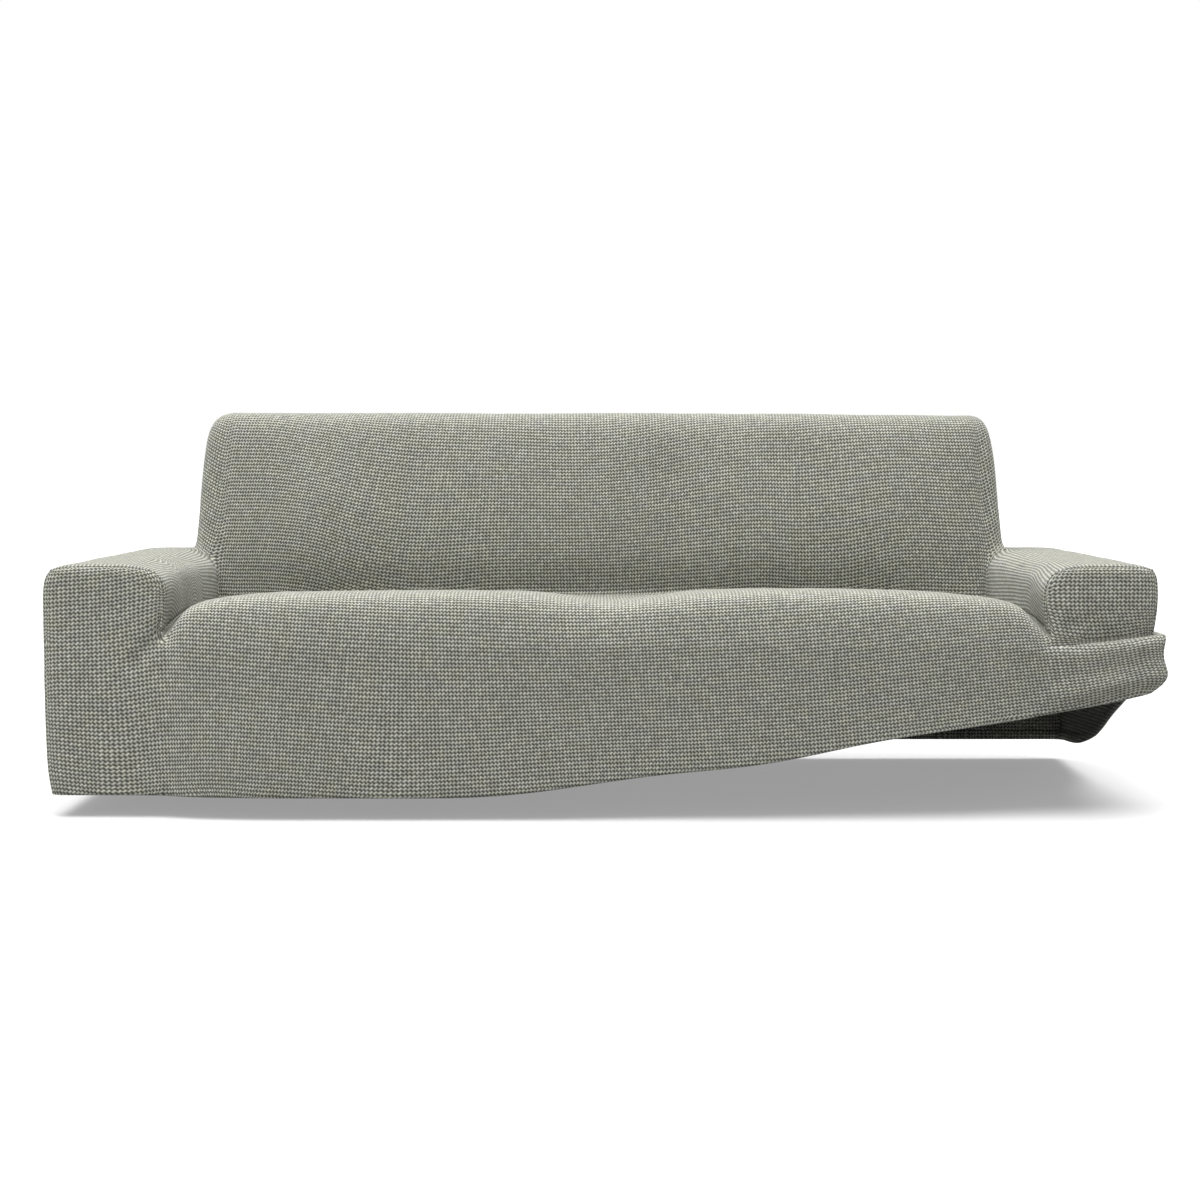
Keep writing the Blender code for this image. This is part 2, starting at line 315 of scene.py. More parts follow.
FOLDS = {
    "front": (
        # start (across, up), end (across, up), half width, depth (below 0 a trough)
        ((-0.878, 0.312), (-0.925, 0.262), 0.016, -0.006),
        ((-0.860, 0.318), (-0.900, 0.240), 0.030, -0.003),
        ((0.900, 0.330), (0.960, 0.345), 0.012, -0.002),
        ((0.985, 0.292), (0.995, 0.240), 0.008, -0.0020),
        ((1.012, 0.294), (1.024, 0.246), 0.008, -0.0024),
        ((1.042, 0.298), (1.056, 0.256), 0.008, -0.0020),
    ),
    "inside_back": (
        ((-0.449, 0.020), (-0.430, 0.300), 0.060, -0.006),
        ((0.150, 0.020), (0.140, 0.260), 0.050, -0.005),
        ((0.460, 0.020), (0.430, 0.300), 0.070, -0.006),
        ((-0.700, 0.000), (-0.640, 0.220), 0.070, 0.004),
        ((0.300, 0.020), (0.280, 0.220), 0.060, 0.003),
    ),
    "inner_arm_left": (
        ((-0.175, 0.300), (-0.165, 0.400), 0.040, -0.003),
        ((-0.030, 0.300), (-0.050, 0.420), 0.055, 0.002),
    ),
    "inner_arm_right": (
        ((-0.060, 0.300), (-0.060, 0.440), 0.050, -0.004),
        ((0.080, 0.300), (0.090, 0.440), 0.040, 0.003),
    ),
}
UNEVENNESS = (
    # size of the waves, height
    (0.22, 0.0022),
    (0.07, 0.0008),
)


def side_of(x):
    return "left" if x < 0 else "right"


def ramp(value, start, end):
    """0 before start and 1 past end, turning smoothly between them."""
    share = min(max((value - start) / (end - start), 0.0), 1.0)
    return share * share * (3 - 2 * share)


def read_smoothly(stations, values, where):
    """Values read at any places from their stations, on a smooth curve through all of them."""
    stations = np.asarray(stations, dtype=float)
    values = np.asarray(values, dtype=float)
    where = np.asarray(where, dtype=float)
    slopes = np.gradient(values, stations)
    first = np.clip(np.searchsorted(stations, where) - 1, 0, len(stations) - 2)
    width = stations[first + 1] - stations[first]
    share = np.clip((where - stations[first]) / width, 0, 1)
    rest = 1 - share
    low = (1 + 2 * share) * rest**2 * values[first] + share * rest**2 * width * slopes[first]
    high = share**2 * (3 - 2 * share) * values[first + 1]
    return low + high - share**2 * rest * width * slopes[first + 1]


def column(rows, number):
    return [row[number] for row in rows]


def read_table(rows, values, number=1):
    """One column of a table, read smoothly at values of its first column."""
    return read_smoothly(column(rows, 0), column(rows, number), values)


def along(rows, value, number=1):
    """One column of a table, read smoothly at a single value."""
    return float(read_table(rows, value, number))


def spread(lines):
    """The lines, with even ones between them where they are too far apart for a fine form."""
    finer = [lines[0]]
    for low, high in zip(lines, lines[1:]):
        parts = math.ceil((high - low) / WIDEST_CELL - NEAR)
        finer += [low + (high - low) * n / parts for n in range(1, parts + 1)]
    return finer


def width_lines():
    """The lattice lines from the left end to the right end."""
    halves = {}
    for side in SIDES:
        lines = (0.0,) + SEAT_LINES + NOTCH_LINES + (ARM_INNER[side], BACK_SIDE[side]) + ARM_LINES
        halves[side] = spread(lines)
    return [-x for x in reversed(halves["left"])] + halves["right"][1:]


ACROSS = width_lines()
DEEP = spread(DEPTH_LINES)
UP = list(HEIGHT_LINES) + spread((ARM_TOP,) + BACK_LINES)[1:]
FIRST_BACK = DEEP.index(SEAT_TO_BACK)
FOLD_ROW = UP.index(FOLD_LEVEL)
SEAT_ROW = UP.index(SEAT_LEVEL)
ARM_ROW = UP.index(ARM_TOP)


def over_seat(x):
    return abs(x) < ARM_INNER[side_of(x)] - NEAR


def beside_arm(x):
    return abs(abs(x) - ARM_INNER[side_of(x)]) < NEAR


def seat_dip(x):
    offset = x - DIP_MIDDLE
    return DIP_DEPTH * math.exp(-((offset / DIP_REACH[side_of(offset)]) ** 2))


def place_on_seat(point, x, y):
    """The crowned seat: low at its front edge, in the middle dip and in the grooves by the arms."""
    if beside_arm(x):
        point.z = along(SEAT_PROFILE, y, 2)
        return
    end = ramp(abs(x), SEAT_LINES[-2], SEAT_LINES[-1])
    point.z = along(SEAT_PROFILE, y, 1) + along(SEAT_LIFT, x) - SEAT_END_DROP * end
    if abs(x) > SEAT_LINES[-1] + NEAR:
        past = ramp(abs(x), SEAT_LINES[-1], ARM_INNER[side_of(x)])
        point.z += (along(SEAT_PROFILE, y, 2) - point.z) * past
    if y < SEAT_TO_BACK:
        point.z -= seat_dip(x)


def place_on_front(point, k, x):
    """The seat front stands ahead of the arm fronts, with its upper edge a little behind it."""
    start = SEAT_LINES[-1] - SEAT_BULGE_FADE["before_end"]
    end = ARM_INNER[side_of(x)] + SEAT_BULGE_FADE["past_arm"]
    point.y -= SEAT_FRONT_BULGE * (1 - ramp(abs(x), start, end))
    if k == SEAT_ROW and over_seat(x):
        point.y += SEAT_EDGE_SETBACK + DIP_SETBACK * seat_dip(x)


def round_arm_edges(point, j, k, y, side):
    """Rounds the arm's inner edges: the long upper one, and the upright one of its front."""
    outwards = -1 if side == "left" else 1
    if k == ARM_ROW and j <= FIRST_BACK:
        front, rear = ARM_EDGE_SLUMP[side]
        slump = front + (rear - front) * ramp(y, FRONT, SEAT_TO_BACK)
        point.x += outwards * slump
        point.z -= slump
    elif k > SEAT_ROW:
        point.x -= outwards * ARM_SWELL[side] * (1 - ramp(y, FRONT, FRONT + ARM_SWELL_REACH))
    if j == 0 and k > SEAT_ROW:
        point.y += ARM_FRONT_ROUNDING[side]


def place_on_back(point, y):
    """The backrest's lean and crown, strongest at its front, and its narrowing to the top."""
    lines = DEPTH_LINES[DEPTH_LINES.index(SEAT_TO_BACK) :]
    through = float(np.interp(y, lines, np.linspace(0, 1, len(lines))))
    rise = point.z - ARM_TOP
    front_lean = rise * math.tan(BACK_LEAN)
    rear_lean = max(rise, 0.0) / (BACK_TOP - ARM_TOP) * BACK_REAR_LEAN
    point.y += front_lean + (rear_lean - front_lean) * through
    upwards = min(max((point.z - SEAT_LEVEL) / (BACK_TOP - SEAT_LEVEL), 0.0), 1.0)
    upwards **= BACK_CROWN_LOWNESS
    crown = 4 * BACK_CROWN * upwards * (1 - upwards)
    crown *= 1 - ramp(abs(point.x), *BACK_CROWN_ENDS)
    point.y -= crown * (1 - through)
    if rise > 0:
        side = side_of(point.x)
        cheek = ramp(abs(point.x), ARM_INNER[side] - BACK_CHEEK_WIDTH, BACK_SIDE[side])
        point.y += BACK_EDGE_ROUNDING * cheek * (1 - through)
        height_share = rise / (BACK_TOP - ARM_TOP)
        point.x *= 1 - BACK_NARROWING * height_share
        point.z -= BACK_TOP_FALL * height_share * ramp(point.x, 0.0, HALF_WIDTH)


def soften_corner(point, x, end, softening):
    """Draws in a cage point on the long edge where a top meets an end."""
    if abs(abs(x) - end) < NEAR:
        point.x -= math.copysign(softening, x)
        point.z -= softening


def hem_height(x, y):
    if x > HALF_WIDTH - NEAR:
        return along(HEM_FALL, y)
    if y < FRONT + NEAR:
        return along(HEM_RISE, x) if x > HEM_RISE[0][0] else 0.0
    return 0.0


def bunched(x, y):
    """How strongly the bunched cloth shows at a place on the front or the right side."""
    if y < FRONT + NEAR:
        return ramp(x, BUNCH_START, BUNCH_FULL)
    if x > HALF_WIDTH - NEAR:
        return 1 - ramp(y, BUNCH_BACK_FULL, BUNCH_BACK_START)
    return 0.0


def place_on_skirt(point, k, x, y):
    """Spreads the rows under the fold between the hem and the fold, and bulges the bunch."""
    hem = hem_height(x, y)
    share = UP[k] / FOLD_LEVEL
    bunch_share, forwards, sideways = BUNCH_ROWS[k]
    strength = bunched(x, y)
    share += (bunch_share - share) * strength
    fold = FOLD_LEVEL + (along(BUNCH_FOLD, max(x, BUNCH_FOLD[0][0])) - FOLD_LEVEL) * strength
    if y < FRONT + NEAR:
        from_notch = (abs(x) - ARM_INNER[side_of(x)]) / NOTCH_REACH
        fold -= NOTCH_TUCK * math.exp(-(from_notch**2)) * (1 - strength)
    point.z = hem + (fold - hem) * share
    if x > HALF_WIDTH - NEAR:
        point.x += sideways * strength
    if y < FRONT + NEAR:
        point.y -= forwards * strength
    drawn_in = HEM_DRAW_IN * (1 - share) ** 2
    point.x *= 1 - drawn_in * ramp(abs(x), HEM_DRAW_IN_START, HALF_WIDTH)


def lattice_point(i, j, k):
    """Where the cloth carries the cage's point on line i across, j to the rear and k up."""
    x, y, z = ACROSS[i], DEEP[j], UP[k]
    point = Vector((x, y, z))
    if beside_arm(x):
        depth_share = (y - FRONT) / (SEAT_TO_BACK - FRONT)
        point.x -= math.copysign(ARM_TAPER[side_of(x)] * min(depth_share, 1), x)
    if k == SEAT_ROW and j <= FIRST_BACK and (over_seat(x) or beside_arm(x)):
        place_on_seat(point, x, y)
    if j == 0:
        place_on_front(point, k, x)
    if j >= FIRST_BACK and (k > ARM_ROW or abs(x) <= BACK_SIDE[side_of(x)] + NEAR):
        place_on_back(point, y)
    if k <= FOLD_ROW:
        place_on_skirt(point, k, x, y)
    if beside_arm(x):
        round_arm_edges(point, j, k, y, side_of(x))
    if abs(abs(x) - HALF_WIDTH) < NEAR and 0 < k < ARM_ROW:
        point.x += math.copysign(ARM_SIDE_BULGE[side_of(x)], x)
    if k == ARM_ROW:
        soften_corner(point, x, HALF_WIDTH, CORNER_SOFTENING["arm"])
    if k == len(UP) - 1:
        soften_corner(point, x, BACK_SIDE[side_of(x)], CORNER_SOFTENING["back"])
    return point


def is_filled(i, j, k):
    """Whether the sofa's form fills the lattice cell with this lowest corner."""
    cells = (len(ACROSS) - 1, len(DEEP) - 1, len(UP) - 1)
    if not all(0 <= index < most for index, most in zip((i, j, k), cells)):
        return False
    middle = (ACROSS[i] + ACROSS[i + 1]) / 2
    side = side_of(middle)
    if k < SEAT_ROW:
        return True
    if j >= FIRST_BACK and abs(middle) < BACK_SIDE[side]:
        return True
    return k < ARM_ROW and abs(middle) > ARM_INNER[side]


# Each open face of a lattice cell: the step to the cell beyond it, and its corners seen from
# outside, counter-clockwise
CELL_FACES = {
    "left": ((-1, 0, 0), ((0, 0, 0), (0, 0, 1), (0, 1, 1), (0, 1, 0))),
    "right": ((1, 0, 0), ((1, 0, 0), (1, 1, 0), (1, 1, 1), (1, 0, 1))),
    "front": ((0, -1, 0), ((0, 0, 0), (1, 0, 0), (1, 0, 1), (0, 0, 1))),
    "rear": ((0, 1, 0), ((0, 1, 0), (0, 1, 1), (1, 1, 1), (1, 1, 0))),
    "top": ((0, 0, 1), ((0, 0, 1), (1, 0, 1), (1, 1, 1), (0, 1, 1))),
}


def region_of(facing, i, j, k):
    """The name of the part of the cover that a cage face lies on."""
    side = side_of((ACROSS[i] + ACROSS[i + 1]) / 2)
    if facing == "top":
        return {SEAT_ROW - 1: "seat", ARM_ROW - 1: "arm_top_" + side}.get(k, "back_top")
    if facing in ("left", "right"):
        if k >= ARM_ROW:
            return "back_side_" + side
        outer = i in (0, len(ACROSS) - 2) and (facing == "left") == (i == 0)
        return ("outer_arm_" if outer else "inner_arm_") + side
    if facing == "front":
        return "inside_back" if j == FIRST_BACK else "front"
    return "outside_back"


def panel_of(region):
    """The maker's panel that a region is cut from."""
    if region == "outside_back":
        return "outside_back_panel"
    if "arm" in region:
        return "arm_panel_" + region.rsplit("_", 1)[1]
    return "front_seat_back_panel"


def crease_between(first, second):
    """How tightly the cloth is drawn in along the edge between two cage faces."""
    kinds = {name.replace("_left", "").replace("_right", "") for name in (first, second)}
    if kinds == {"seat", "inner_arm"}:
        return GROOVE_CREASES["seat_to_arm"]
    if kinds == {"seat", "front"}:
        return SEAT_EDGE_CREASE
    if kinds == {"seat", "inside_back"}:
        return GROOVE_CREASES["seat_to_back"]
    if kinds in (
        {"inner_arm", "inside_back"},
        {"arm_top", "inside_back"},
        {"arm_top", "back_side"},
    ):
        return GROOVE_CREASES["arm_to_back"]
    return 0.0


def cage_faces():
    """(corner keys, region) for each open face of the filled cells."""
    for i in range(len(ACROSS) - 1):
        for j in range(len(DEEP) - 1):
            for k in range(len(UP) - 1):
                if not is_filled(i, j, k):
                    continue
                for facing, (step, corners) in CELL_FACES.items():
                    if not is_filled(i + step[0], j + step[1], k + step[2]):
                        keys = [(i + a, j + b, k + c) for a, b, c in corners]
                        yield keys, region_of(facing, i, j, k)


def fold_edges():
    """The fold above the bunched cloth, on the front and the side: pairs of lattice keys, and how
    tight the fold is there."""
    last = len(ACROSS) - 1
    notch = ACROSS.index(ARM_INNER["right"])
    yield (notch, 0, SEAT_ROW), (notch, 0, FOLD_ROW), FOLD_CREASE
    for i in range(notch, last):
        yield (i, 0, FOLD_ROW), (i + 1, 0, FOLD_ROW), FOLD_CREASE
    for j in range(FIRST_BACK):
        tightness = FOLD_CREASE * bunched(HALF_WIDTH, DEEP[j + 1])
        yield (last, j, FOLD_ROW), (last, j + 1, FOLD_ROW), tightness


def chain_length(keys):
    """The length of the cloth along a chain of lattice keys, as a running total."""
    points = [lattice_point(*key) for key in keys]
    total = [0.0]
    for start, end in zip(points, points[1:]):
        total.append(total[-1] + (end - start).length)
    return total


def cloth_lengths():
    """The length of cloth to each key behind the seat's edge, along its lattice line.

    On the seat it starts at the seat front's height, so that on the front it is the height
    itself. On the backrest it starts at 0 where the seat meets the back.
    """
    seat, back = {}, {}
    top = len(UP) - 1
    for i in range(len(ACROSS)):
        chain = [(i, 0, FOLD_ROW), (i, 0, SEAT_ROW)]
        chain += [(i, j, SEAT_ROW) for j in range(1, FIRST_BACK + 1)]
        for key, length in zip(chain, chain_length(chain)):
            seat[key] = FOLD_LEVEL + length
        chain = [(i, FIRST_BACK, k) for k in range(SEAT_ROW, top + 1)]
        chain += [(i, j, top) for j in range(FIRST_BACK + 1, len(DEEP))]
        back.update(zip(chain, chain_length(chain)))
    return seat, back


def flat_place(region, key, point, lengths):
    """Where a cage point lies on its region's flat cloth: metres across and metres up."""
    side = "left" if region.endswith("left") else "right"
    outwards = -1 if side == "left" else 1
    seat_lengths, back_lengths = lengths
    if region == "seat":
        return ACROSS[key[0]], seat_lengths[key]
    if region in ("inside_back", "back_top"):
        return ACROSS[key[0]], back_lengths[key]
    if region == "front":
        above = key[2] >= SEAT_ROW and over_seat(ACROSS[key[0]])
        return ACROSS[key[0]], (seat_lengths[key] if above else point.z)
    if region.startswith("back_side"):
        i = ACROSS.index(outwards * BACK_SIDE[side])
        reach = point.y - lattice_point(i, FIRST_BACK, key[2]).y
        return ACROSS[i] + outwards * reach, back_lengths[(i, FIRST_BACK, key[2])]
    height = ARM_TOP if key[2] == ARM_ROW else point.z
    if region.startswith("inner_arm"):
        return point.y, height
    if region.startswith("arm_top"):
        return point.y, ARM_TOP + abs(ACROSS[key[0]]) - ARM_INNER[side]
    if region.startswith("outer_arm"):
        return point.y, ARM_TOP + HALF_WIDTH - ARM_INNER[side] + ARM_TOP - height
    return -point.x, point.z


def make_cage():
    """The cover's coarse cage: each face has its region's number as material index, and its
    place on the flat cloth, in metres, as UV."""
    form = bmesh.new()
    crease = form.edges.layers.float.new("crease_edge")
    flat = form.loops.layers.uv.new("flat_cloth")
    lengths = cloth_lengths()
    points = {}
    for keys, region in cage_faces():
        for key in keys:
            if key not in points:
                points[key] = form.verts.new(lattice_point(*key))
        face = form.faces.new([points[key] for key in keys])
        face.material_index = REGIONS.index(region)
        face.smooth = True
        for loop, key in zip(face.loops, keys):
            loop[flat].uv = flat_place(region, key, loop.vert.co, lengths)
    for edge in form.edges:
        if len(edge.link_faces) == 2:
            names = [REGIONS[face.material_index] for face in edge.link_faces]
            notch = min(vert.co.y for vert in edge.verts) < FRONT + NOTCH_LENGTH
            edge[crease] = crease_between(*names) * (NOTCH_SLACK if notch else 1)
    for first, second, tightness in fold_edges():
        form.edges.get((points[first], points[second]))[crease] = tightness
    mesh = bpy.data.meshes.new("cover_cage")
    form.to_mesh(mesh)
    form.free()
    for _ in REGIONS:
        mesh.materials.append(None)
    return mesh


def add_object(name, data):
    """A new object, linked to the scene."""
    added = bpy.data.objects.new(name, data)
    bpy.context.scene.collection.objects.link(added)
    return added


def rounded(cage, level):
    """The cage rounded by subdivision, as a new mesh."""
    helper = add_object("cover_cage", cage)
    rounding = helper.modifiers.new("rounding", "SUBSURF")
    rounding.levels = level
    rounding.boundary_smooth = "PRESERVE_CORNERS"
    rounding.uv_smooth = "PRESERVE_BOUNDARIES"
    bpy.context.view_layer.update()
    graph = bpy.context.evaluated_depsgraph_get()
    mesh = bpy.data.meshes.new_from_object(helper.evaluated_get(graph))
    bpy.data.objects.remove(helper)
    bpy.data.meshes.remove(cage)
    return mesh


# -------- Folds and knit rows on the fine form --------


def read_numbers(items, name, width=1, kind=float):
    """One attribute of all items as an array, with a row for each item where it has a width."""
    numbers = np.empty(len(items) * width, dtype=kind)
    items.foreach_get(name, numbers)
    return numbers.reshape(len(items), width) if width > 1 else numbers


class FineForm:
    """The rounded form's numbers as arrays, so that thousands of points move at once."""

    def __init__(self, mesh):
        self.mesh = mesh
        self.places = read_numbers(mesh.vertices, "co", 3)
        self.normals = read_numbers(mesh.vertex_normals, "vector", 3)
        self.corner_points = read_numbers(mesh.loops, "vertex_index", kind=np.int32)
        self.flat = read_numbers(mesh.uv_layers["flat_cloth"].uv, "vector", 2)
        face_regions = read_numbers(mesh.polygons, "material_index", kind=np.int32)
        sizes = read_numbers(mesh.polygons, "loop_total", kind=np.int32)
        self.corner_regions = np.repeat(face_regions, sizes)

    def corners_of(self, region):
        return np.nonzero(self.corner_regions == REGIONS.index(region))[0]

    def write(self):
        self.mesh.vertices.foreach_set("co", self.places.ravel())
        self.mesh.update()


def fold_heights(places, folds):
    """How far each place on the flat cloth is pushed out (or in, below 0) by a region's folds."""
    heights = np.zeros(len(places))
    for start, end, half_width, depth in folds:
        start = np.array(start)
        run = np.array(end) - start
        share = np.clip((places - start) @ run / (run @ run), 0, 1)
        gap = np.linalg.norm(places - start - share[:, None] * run, axis=1)
        heights += depth * np.exp(-((gap / half_width) ** 2))
    return heights


def add_folds(form, strength):
    """Moves the form along its normals by the folds of each region."""
    heights = np.zeros(len(form.places))
    for region, folds in FOLDS.items():
        corners = form.corners_of(region)
        pushed = fold_heights(form.flat[corners], folds)
        points = form.corner_points[corners]
        stronger = np.abs(pushed) > np.abs(heights[points])
        heights[points[stronger]] = pushed[stronger]
    form.places += form.normals * heights[:, None] * strength


def add_unevenness(form):
    """The slight waviness of cloth stretched over soft upholstery."""
    heights = np.zeros(len(form.places))
    for size, height in UNEVENNESS:
        waves = [noise.noise(Vector(place) / size) for place in form.places]
        heights += height * np.array(waves)
    form.places += form.normals * heights[:, None]


def row_count(heights, guides, counts):
    """How many knit rows lie below each height, from the guide rows' heights at its place."""
    outside = heights - np.clip(heights, guides[0], guides[-1])
    rows = counts[0] + outside / ROW_PITCH
    for low, high, below, above in zip(guides, guides[1:], counts, counts[1:]):
        rows += np.clip((heights - low) / (high - low), 0, 1) * (above - below)
    return rows


def guide_rows(table, across):
    """The heights of a table's low and high row at places across, in metres."""
    return [read_table(table, across, number) / 1000 for number in (1, 2)]


def front_rows(across, up):
    """How many knit rows lie below each place on the front or the seat."""
    low, high = guide_rows(FRONT_ROWS, across)
    fold = read_table(BUNCH_FOLD, across)
    strength = np.array([bunched(x, FRONT) for x in across])
    counts = (0, ROWS_BELOW_FOLD, ROWS_BELOW_FOLD + ROWS_IN_FOLD, FRONT_ROW_COUNT)
    guides = [low]
    for count, offset in zip(counts[1:3], (-FOLD_HIDES / 2, FOLD_HIDES / 2)):
        even = low + (high - low) * count / FRONT_ROW_COUNT
        guides.append(even + (fold + offset - even) * strength)
    guides.append(high)
    return row_count(up, guides, counts)


def columns_across(x):
    """The number of knit columns from the middle to each place across."""
    inside = np.clip(x, -SEAT_KNIT_HALF, SEAT_KNIT_HALF)
    return inside / COLUMN_PITCH["seat"] + (x - inside) / COLUMN_PITCH["arm"]


def stitches_on_front(places):
    across, up = places.T
    shift = read_table(FRONT_COLUMN_LEAN, across) * np.minimum(up - SEAT_LEVEL, 0)
    return columns_across(across + shift), front_rows(across, up)


def stitches_on_seat(places):
    """The seat's rows carry on from the front's, and its columns run straight to the rear."""
    across, up = places.T
    return columns_across(across), front_rows(across, up)


def stitches_on_back(places):
    across, up = places.T
    height = SEAT_PROFILE[-1][1] + up * math.cos(BACK_LEAN)
    rows = row_count(height, guide_rows(BACK_ROWS, across), (0, BACK_ROW_COUNT))
    lean = read_table(BACK_COLUMN_LEAN, across) * (height - BACK_TOP)
    return (across - lean) / COLUMN_PITCH["seat"], rows


def stitches_on_arm(places, side):
    """The arm panel's rows run to the rear: up the inner arm, over its top and down outside."""
    along_arm, up = places.T
    inner_lift = read_table(INNER_ARM_LIFT[side], along_arm) / 1000
    top_lift = ARM_TOP_TURN[side] * (along_arm - FRONT)
    over_edge = np.clip((up - ARM_TOP) / ARM_TURN_BAND + 0.5, 0, 1)
    lift = inner_lift + (top_lift - inner_lift) * over_edge
    return along_arm / COLUMN_PITCH["seat"], (up - lift) / ROW_PITCH


def lay_stitches(form):
    """Turns places on the flat cloth into knit columns and rows, pulled as the cloth is."""
    stitches = np.empty_like(form.flat)
    for region in REGIONS:
        corners = form.corners_of(region)
        places = form.flat[corners]
        side = "left" if region.endswith("left") else "right"
        if region == "front":
            columns, rows = stitches_on_front(places)
        elif region == "seat":
            columns, rows = stitches_on_seat(places)
        elif region in ("inside_back", "back_top") or region.startswith("back_side"):
            columns, rows = stitches_on_back(places)
        elif region == "outside_back":
            columns, rows = columns_across(places[:, 0]), places[:, 1] / ROW_PITCH
        else:
            columns, rows = stitches_on_arm(places, side)
        stitches[corners, 0] = columns
        stitches[corners, 1] = rows
    layer = form.mesh.uv_layers.new(name="stitches")
    layer.uv.foreach_set("vector", stitches.ravel())


# -------- Panels: hem, cut and thickness --------


def turn_in_hem(form, sheet, depth):
    """Folds the lower edge of the whole cover to its inside, as the maker's hem."""
    edges = [edge for edge in form.edges if edge.is_boundary]
    inwards = {vert: -vert.normal.copy() for edge in edges for vert in edge.verts}
    steps = (
        # across to the inside in sheets, up
        (1.1, -0.6 * sheet),
        (1.1, 0.6 * sheet),
        (0.0, depth * 0.4),
        (0.0, depth * 0.6),
    )
    stitches = form.loops.layers.uv["stitches"]
    for across, up in steps:
        made = bmesh.ops.extrude_edge_only(form, edges=edges)["geom"]
        verts = [item for item in made if isinstance(item, bmesh.types.BMVert)]
        edges = [item for item in made if isinstance(item, bmesh.types.BMEdge)]
        new_verts = set(verts)
        edges = [edge for edge in edges if edge.is_boundary and new_verts.issuperset(edge.verts)]
        fresh = {}
        for vert in verts:
            neighbours = [edge.other_vert(vert) for edge in vert.link_edges]
            below = next(neighbour for neighbour in neighbours if neighbour in inwards)
            flat = inwards[below].copy()
            flat.z = 0
            fresh[vert] = flat.normalized()
        for vert, inward in fresh.items():
            vert.co += inward * across * sheet + Vector((0, 0, up))
        for vert in verts:
            for loop in vert.link_loops:
                loop[stitches].uv.y -= (abs(up) + across * sheet) / ROW_PITCH
        inwards.update(fresh)
    form.normal_update()


def is_seam(edge):
    """Whether two of the maker's panels meet at this edge of the fine form."""
    panels = {panel_of(REGIONS[face.material_index]) for face in edge.link_faces}
    return len(panels) == 2


def notch_places():
    """Where the seat's front edge meets each arm."""
    left, right = (ACROSS.index(x) for x in (-ARM_INNER["left"], ARM_INNER["right"]))
    return [lattice_point(i, 0, SEAT_ROW) for i in (left, right)]


def draw_in_seams(form, strip, depth):
    """Draws the cloth in along each seam, as a narrow groove between two rounded edges.

    The groove stops short of the notches, where three ways of the cloth meet.
    """
    notches = notch_places()
    seams = [
        edge
        for edge in form.edges
        if is_seam(edge)
        and all((vert.co - notch).length > NOTCH_CLEAR for vert in edge.verts for notch in notches)
    ]
    bmesh.ops.bevel(
        form,
        geom=seams,
        offset=strip,
        offset_type="OFFSET",
        segments=2,
        profile=0.5,
        affect="EDGES",
    )
    form.normal_update()
    lowest = {vert for edge in form.edges if is_seam(edge) for vert in edge.verts}
    for vert in lowest:
        vert.co -= vert.normal * depth


def cut_panel(whole, name):
    """One panel of the cover as a mesh, cut along the seams."""
    form = bmesh.new()
    form.from_mesh(whole)
    others = [face for face in form.faces if panel_of(REGIONS[face.material_index]) != name]
    bmesh.ops.delete(form, geom=others, context="FACES")
    mesh = bpy.data.meshes.new(name)
    for face in form.faces:
        face.material_index = 0
    form.to_mesh(mesh)
    form.free()
    return mesh


def whole_cover():
    """The cover's fine form with folds, knit rows and hem, built once and kept as a mesh."""
    kept = bpy.data.meshes.get("whole_cover")
    if kept:
        return kept
    sizes = bpy.context.scene.slipcover_cloth
    mesh = rounded(make_cage(), sizes.fineness)
    mesh.name = "whole_cover"
    mesh.use_fake_user = True
    fine = FineForm(mesh)
    lay_stitches(fine)
    add_folds(fine, sizes.fold_strength)
    add_unevenness(fine)
    fine.write()
    form = bmesh.new()
    form.from_mesh(mesh)
    form.normal_update()
    draw_in_seams(form, sizes.seam_strip, sizes.seam_depth)
    form.normal_update()
    turn_in_hem(form, sizes.sheet, sizes.hem_depth)
    form.to_mesh(mesh)
    form.free()
    return mesh


def make_panel(name):
    """One panel as a sheet of knit that takes the place of its node."""
    sizes = bpy.context.scene.slipcover_cloth
    mesh = cut_panel(whole_cover(), name)
    mesh.materials.clear()
    mesh.materials.append(knit_material())
    panel = add_object(name.replace("panel", "cloth"), mesh)
    thickness = panel.modifiers.new("thickness", "SOLIDIFY")
    thickness.thickness = sizes.sheet
    thickness.offset = -1.0
    thickness.use_even_offset = False
    thickness.use_quality_normals = True
    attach(panel, "root")
    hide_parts(name)
    return panel


# -------- The knit's look --------


def add_node(tree, kind, **settings):
    node = tree.nodes.new(kind)
    for name, value in settings.items():
        setattr(node, name, value)
    return node


def feed(tree, socket, value):
    """Joins a node's output to a socket, or sets the socket to a plain value."""
    if isinstance(value, bpy.types.NodeSocket):
        tree.links.new(value, socket)
    else:
        socket.default_value = value


def maths(tree, operation, *values, clamp=False):
    """A Math node's result."""
    node = add_node(tree, "ShaderNodeMath", operation=operation, use_clamp=clamp)
    for socket, value in zip(node.inputs, values):
        feed(tree, socket, value)
    return node.outputs[0]


def mixed(tree, share, first, second, blend="MIX"):
    """A colour mixed from two."""
    node = add_node(tree, "ShaderNodeMix", data_type="RGBA", blend_type=blend)
    feed(tree, node.inputs["Factor"], share)
    feed(tree, node.inputs[6], first)
    feed(tree, node.inputs[7], second)
    return node.outputs[2]


def noise_value(tree, vector, scale, detail=2.0):
    node = add_node(tree, "ShaderNodeTexNoise")
    feed(tree, node.inputs["Vector"], vector)
    node.inputs["Scale"].default_value = scale
    node.inputs["Detail"].default_value = detail
    return node.outputs["Fac"]


